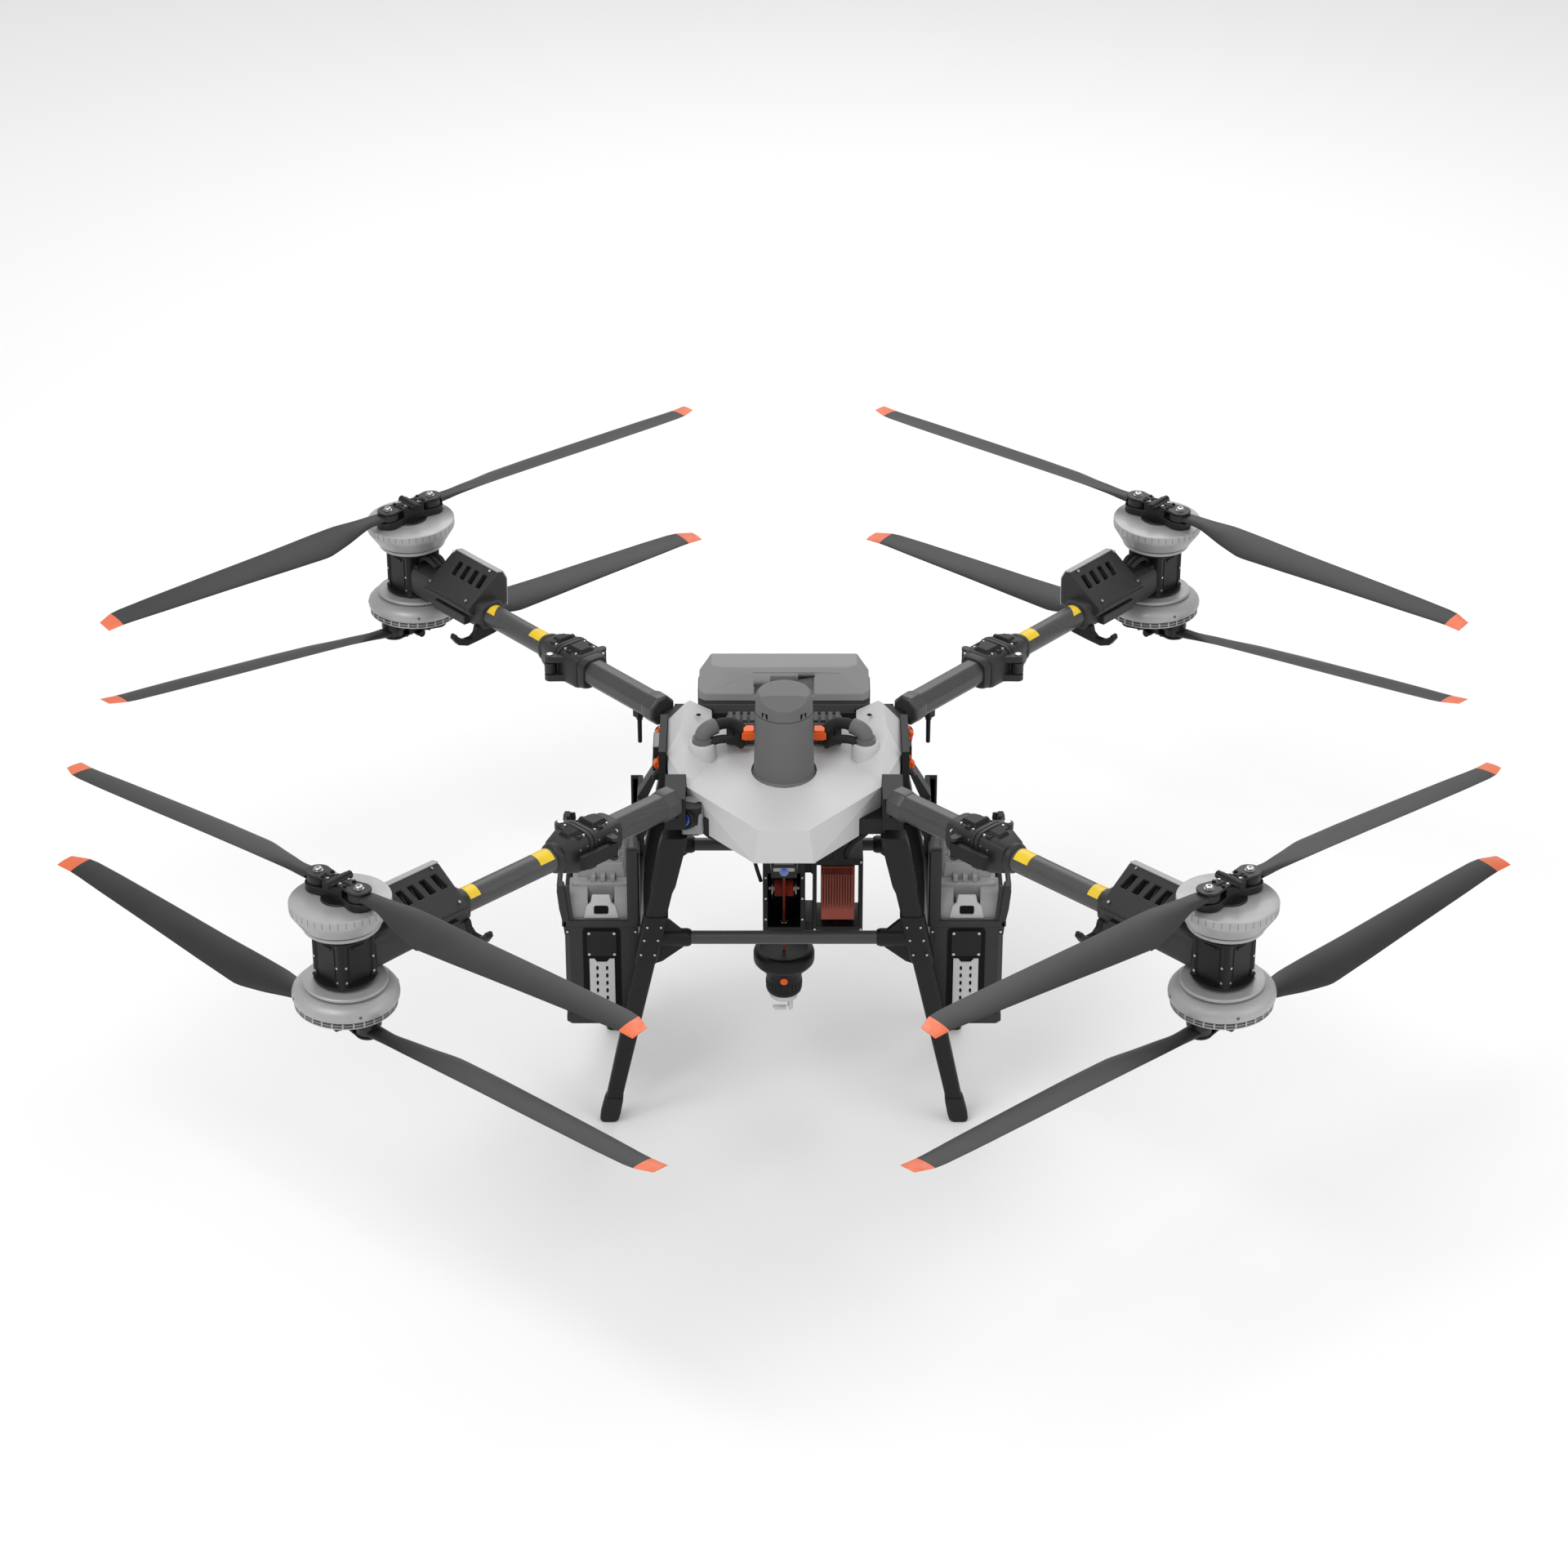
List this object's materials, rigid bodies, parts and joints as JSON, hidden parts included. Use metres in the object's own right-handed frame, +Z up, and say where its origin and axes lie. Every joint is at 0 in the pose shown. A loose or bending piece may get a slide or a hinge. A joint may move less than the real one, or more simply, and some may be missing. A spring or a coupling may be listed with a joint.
{
  "type": "heavy-lift cargo drone",
  "caption": "Folding-arm coaxial multirotor with folding blades, side battery cages, tall legs, parachute canister, antenna mast and a winch with rope and hook.",
  "frame": {"origin": "on the ground, under the middle of the body, between the four motor axes", "axes": "+Z up, -Y towards the nose, +X to the right when the nose faces the viewer"},
  "size_m": [2.9248, 2.7137, 0.9683],
  "materials": {
    "shell": "light grey moulded cover, fine texture",
    "motor": "light grey satin paint",
    "mast": "mid grey moulded plastic",
    "canister": "mid grey moulded plastic",
    "battery": "grey moulded plastic",
    "cage": "dark grey glass-filled plastic",
    "frame": "black powder coat",
    "tube": "dark carbon tube, clear coat",
    "blade": "dark carbon-filled plastic, satin",
    "rope": "braided red and orange cord",
    "fins": "copper-red anodised fins",
    "button": "orange moulded plastic",
    "steel": "brushed",
    "foot": "black rubber",
    "orange_tip": "orange paint",
    "yellow_band": "yellow film",
    "lens": "blue coated lens"
  },
  "bodies": {
    "airframe": {"centre_frame": "frame", "top_shell": "shell", "antenna_mast": "mast", "parachute_canister": "canister", "winch_frame": "frame", "winch_motor": "fins", "front_crossbar": "tube", "front_leg_right": "frame", "front_leg_left": "frame", "rear_leg_right": "frame", "rear_leg_left": "frame", "battery_cage_right": "cage", "battery_cage_left": "cage", "arm_inner_fr": "tube", "arm_inner_fl": "tube", "arm_inner_rr": "tube", "arm_inner_rl": "tube"},
    "arm_fr": {"arm_outer_fr": "tube", "controller_pod_fr": "cage"},
    "latch_fr": {"arm_latch_fr": "frame"},
    "upper_rotor_fr": {"upper_hub_fr": "motor"},
    "upper_prop_a_fr": {"upper_blade_a_fr": "blade"},
    "upper_prop_b_fr": {"upper_blade_b_fr": "blade"},
    "lower_rotor_fr": {"lower_hub_fr": "motor"},
    "lower_prop_a_fr": {"lower_blade_a_fr": "blade"},
    "lower_prop_b_fr": {"lower_blade_b_fr": "blade"},
    "arm_fl": {"arm_outer_fl": "tube", "controller_pod_fl": "cage"},
    "latch_fl": {"arm_latch_fl": "frame"},
    "upper_rotor_fl": {"upper_hub_fl": "motor"},
    "upper_prop_a_fl": {"upper_blade_a_fl": "blade"},
    "upper_prop_b_fl": {"upper_blade_b_fl": "blade"},
    "lower_rotor_fl": {"lower_hub_fl": "motor"},
    "lower_prop_a_fl": {"lower_blade_a_fl": "blade"},
    "lower_prop_b_fl": {"lower_blade_b_fl": "blade"},
    "arm_rr": {"arm_outer_rr": "tube", "controller_pod_rr": "cage"},
    "latch_rr": {"arm_latch_rr": "frame"},
    "upper_rotor_rr": {"upper_hub_rr": "motor"},
    "upper_prop_a_rr": {"upper_blade_a_rr": "blade"},
    "upper_prop_b_rr": {"upper_blade_b_rr": "blade"},
    "lower_rotor_rr": {"lower_hub_rr": "motor"},
    "lower_prop_a_rr": {"lower_blade_a_rr": "blade"},
    "lower_prop_b_rr": {"lower_blade_b_rr": "blade"},
    "arm_rl": {"arm_outer_rl": "tube", "controller_pod_rl": "cage"},
    "latch_rl": {"arm_latch_rl": "frame"},
    "upper_rotor_rl": {"upper_hub_rl": "motor"},
    "upper_prop_a_rl": {"upper_blade_a_rl": "blade"},
    "upper_prop_b_rl": {"upper_blade_b_rl": "blade"},
    "lower_rotor_rl": {"lower_hub_rl": "motor"},
    "lower_prop_a_rl": {"lower_blade_a_rl": "blade"},
    "lower_prop_b_rl": {"lower_blade_b_rl": "blade"},
    "pack_right": {"battery_right": "battery"},
    "pack_left": {"battery_left": "battery"},
    "drum": {"winch_drum": "steel"},
    "hook": {"hook_body": "frame", "rope": "rope"},
    "gate": {"hook_gate": "steel"},
    "button": {"hook_button": "button"}
  },
  "joints": [
    {"name": "arm_fold_fr", "type": "hinge", "parent": "airframe", "child": "arm_fr", "pos_m": [0.44079, -0.36159, 0.79], "axis": [0, 0, 1], "range_deg": [0, 60]},
    {"name": "latch_open_fr", "type": "hinge", "parent": "airframe", "child": "latch_fr", "pos_m": [0.33402, -0.4118, 0.79], "axis": [0, 0, -1], "range_deg": [0, 100]},
    {"name": "upper_spin_fr", "type": "hinge", "parent": "arm_fr", "child": "upper_rotor_fr", "pos_m": [0.82717, -0.82283, 0.94595], "axis": [0.0247, 0.0247, 0.9994], "continuous": true},
    {"name": "upper_fold_a_fr", "type": "hinge", "parent": "upper_rotor_fr", "child": "upper_prop_a_fr", "pos_m": [0.86883, -0.78545, 0.944], "axis": [-0.0247, -0.0247, -0.9994], "range_deg": [-75, 0]},
    {"name": "upper_fold_b_fr", "type": "hinge", "parent": "upper_rotor_fr", "child": "upper_prop_b_fr", "pos_m": [0.78551, -0.8602, 0.9479], "axis": [0.0247, 0.0247, 0.9994], "range_deg": [-75, 0]},
    {"name": "lower_spin_fr", "type": "hinge", "parent": "arm_fr", "child": "lower_rotor_fr", "pos_m": [0.82738, -0.82262, 0.65806], "axis": [-0.0259, -0.0259, 0.9993], "continuous": true},
    {"name": "lower_fold_a_fr", "type": "hinge", "parent": "lower_rotor_fr", "child": "lower_prop_a_fr", "pos_m": [0.86994, -0.78627, 0.66011], "axis": [0.0259, 0.0259, -0.9993], "range_deg": [-75, 0]},
    {"name": "lower_fold_b_fr", "type": "hinge", "parent": "lower_rotor_fr", "child": "lower_prop_b_fr", "pos_m": [0.78483, -0.85896, 0.65602], "axis": [-0.0259, -0.0259, 0.9993], "range_deg": [-75, 0]},
    {"name": "arm_fold_fl", "type": "hinge", "parent": "airframe", "child": "arm_fl", "pos_m": [-0.44079, -0.36159, 0.79], "axis": [0, 0, 1], "range_deg": [-60, 0]},
    {"name": "latch_open_fl", "type": "hinge", "parent": "airframe", "child": "latch_fl", "pos_m": [-0.33402, -0.4118, 0.79], "axis": [0, 0, 1], "range_deg": [0, 100]},
    {"name": "upper_spin_fl", "type": "hinge", "parent": "arm_fl", "child": "upper_rotor_fl", "pos_m": [-0.82717, -0.82283, 0.94595], "axis": [-0.0247, 0.0247, 0.9994], "continuous": true},
    {"name": "upper_fold_a_fl", "type": "hinge", "parent": "upper_rotor_fl", "child": "upper_prop_a_fl", "pos_m": [-0.86883, -0.78545, 0.944], "axis": [0.0247, -0.0247, -0.9994], "range_deg": [0, 75]},
    {"name": "upper_fold_b_fl", "type": "hinge", "parent": "upper_rotor_fl", "child": "upper_prop_b_fl", "pos_m": [-0.78551, -0.8602, 0.9479], "axis": [-0.0247, 0.0247, 0.9994], "range_deg": [0, 75]},
    {"name": "lower_spin_fl", "type": "hinge", "parent": "arm_fl", "child": "lower_rotor_fl", "pos_m": [-0.82738, -0.82262, 0.65806], "axis": [0.0259, -0.0259, 0.9993], "continuous": true},
    {"name": "lower_fold_a_fl", "type": "hinge", "parent": "lower_rotor_fl", "child": "lower_prop_a_fl", "pos_m": [-0.86994, -0.78627, 0.66011], "axis": [-0.0259, 0.0259, -0.9993], "range_deg": [0, 75]},
    {"name": "lower_fold_b_fl", "type": "hinge", "parent": "lower_rotor_fl", "child": "lower_prop_b_fl", "pos_m": [-0.78483, -0.85896, 0.65602], "axis": [0.0259, -0.0259, 0.9993], "range_deg": [0, 75]},
    {"name": "arm_fold_rr", "type": "hinge", "parent": "airframe", "child": "arm_rr", "pos_m": [0.49791, 0.36035, 0.79], "axis": [0, 0, 1], "range_deg": [-60, 0]},
    {"name": "latch_open_rr", "type": "hinge", "parent": "airframe", "child": "latch_rr", "pos_m": [0.38775, 0.4026, 0.79], "axis": [0, 0, 1], "range_deg": [0, 100]},
    {"name": "upper_spin_rr", "type": "hinge", "parent": "arm_rr", "child": "upper_rotor_rr", "pos_m": [0.82744, 0.82289, 0.94594], "axis": [0.0277, -0.0239, 0.9993], "continuous": true},
    {"name": "upper_fold_a_rr", "type": "hinge", "parent": "upper_rotor_rr", "child": "upper_prop_a_rr", "pos_m": [0.78377, 0.85788, 0.94799], "axis": [0.0277, -0.0239, 0.9993], "range_deg": [0, 75]},
    {"name": "upper_fold_b_rr", "type": "hinge", "parent": "upper_rotor_rr", "child": "upper_prop_b_rr", "pos_m": [0.87112, 0.7879, 0.94389], "axis": [-0.0277, 0.0239, -0.9993], "range_deg": [0, 75]},
    {"name": "lower_spin_rr", "type": "hinge", "parent": "arm_rr", "child": "lower_rotor_rr", "pos_m": [0.82804, 0.82238, 0.65809], "axis": [-0.033, 0.0285, 0.999], "continuous": true},
    {"name": "lower_fold_a_rr", "type": "hinge", "parent": "lower_rotor_rr", "child": "lower_prop_a_rr", "pos_m": [0.78431, 0.85728, 0.65565], "axis": [-0.033, 0.0285, 0.999], "range_deg": [0, 75]},
    {"name": "lower_fold_b_rr", "type": "hinge", "parent": "lower_rotor_rr", "child": "lower_prop_b_rr", "pos_m": [0.87176, 0.78748, 0.66053], "axis": [0.033, -0.0285, -0.999], "range_deg": [0, 75]},
    {"name": "arm_fold_rl", "type": "hinge", "parent": "airframe", "child": "arm_rl", "pos_m": [-0.49791, 0.36035, 0.79], "axis": [0, 0, 1], "range_deg": [0, 60]},
    {"name": "latch_open_rl", "type": "hinge", "parent": "airframe", "child": "latch_rl", "pos_m": [-0.38775, 0.4026, 0.79], "axis": [0, 0, -1], "range_deg": [0, 100]},
    {"name": "upper_spin_rl", "type": "hinge", "parent": "arm_rl", "child": "upper_rotor_rl", "pos_m": [-0.82744, 0.82289, 0.94594], "axis": [-0.0277, -0.0239, 0.9993], "continuous": true},
    {"name": "upper_fold_a_rl", "type": "hinge", "parent": "upper_rotor_rl", "child": "upper_prop_a_rl", "pos_m": [-0.78377, 0.85788, 0.94799], "axis": [-0.0277, -0.0239, 0.9993], "range_deg": [-75, 0]},
    {"name": "upper_fold_b_rl", "type": "hinge", "parent": "upper_rotor_rl", "child": "upper_prop_b_rl", "pos_m": [-0.87112, 0.7879, 0.94389], "axis": [0.0277, 0.0239, -0.9993], "range_deg": [-75, 0]},
    {"name": "lower_spin_rl", "type": "hinge", "parent": "arm_rl", "child": "lower_rotor_rl", "pos_m": [-0.82804, 0.82238, 0.65809], "axis": [0.033, 0.0285, 0.999], "continuous": true},
    {"name": "lower_fold_a_rl", "type": "hinge", "parent": "lower_rotor_rl", "child": "lower_prop_a_rl", "pos_m": [-0.78431, 0.85728, 0.65565], "axis": [0.033, 0.0285, 0.999], "range_deg": [-75, 0]},
    {"name": "lower_fold_b_rl", "type": "hinge", "parent": "lower_rotor_rl", "child": "lower_prop_b_rl", "pos_m": [-0.87176, 0.78748, 0.66053], "axis": [-0.033, -0.0285, -0.999], "range_deg": [-75, 0]},
    {"name": "battery_lift_right", "type": "slide", "parent": "airframe", "child": "pack_right", "axis": [0, 0, 1], "range_m": [0, 0.36]},
    {"name": "battery_lift_left", "type": "slide", "parent": "airframe", "child": "pack_left", "axis": [0, 0, 1], "range_m": [0, 0.36]},
    {"name": "drum_turn", "type": "hinge", "parent": "airframe", "child": "drum", "pos_m": [0, 0.03, 0.44], "axis": [1, 0, 0], "range_deg": [0, 280]},
    {"name": "hook_lower", "type": "slide", "parent": "airframe", "child": "hook", "axis": [0, 0, -1], "range_m": [0, 0.1395]},
    {"name": "gate_open", "type": "hinge", "parent": "hook", "child": "gate", "pos_m": [0.014, 0, 0.193], "axis": [0, -1, 0], "range_deg": [0, 50]},
    {"name": "release_press", "type": "slide", "parent": "hook", "child": "button", "axis": [0, 1, 0], "range_m": [0, 0.004]}
  ],
  "couplings": [
    {"joint": "drum_turn", "follows": "hook_lower", "rad_per_m": 35}
  ]
}
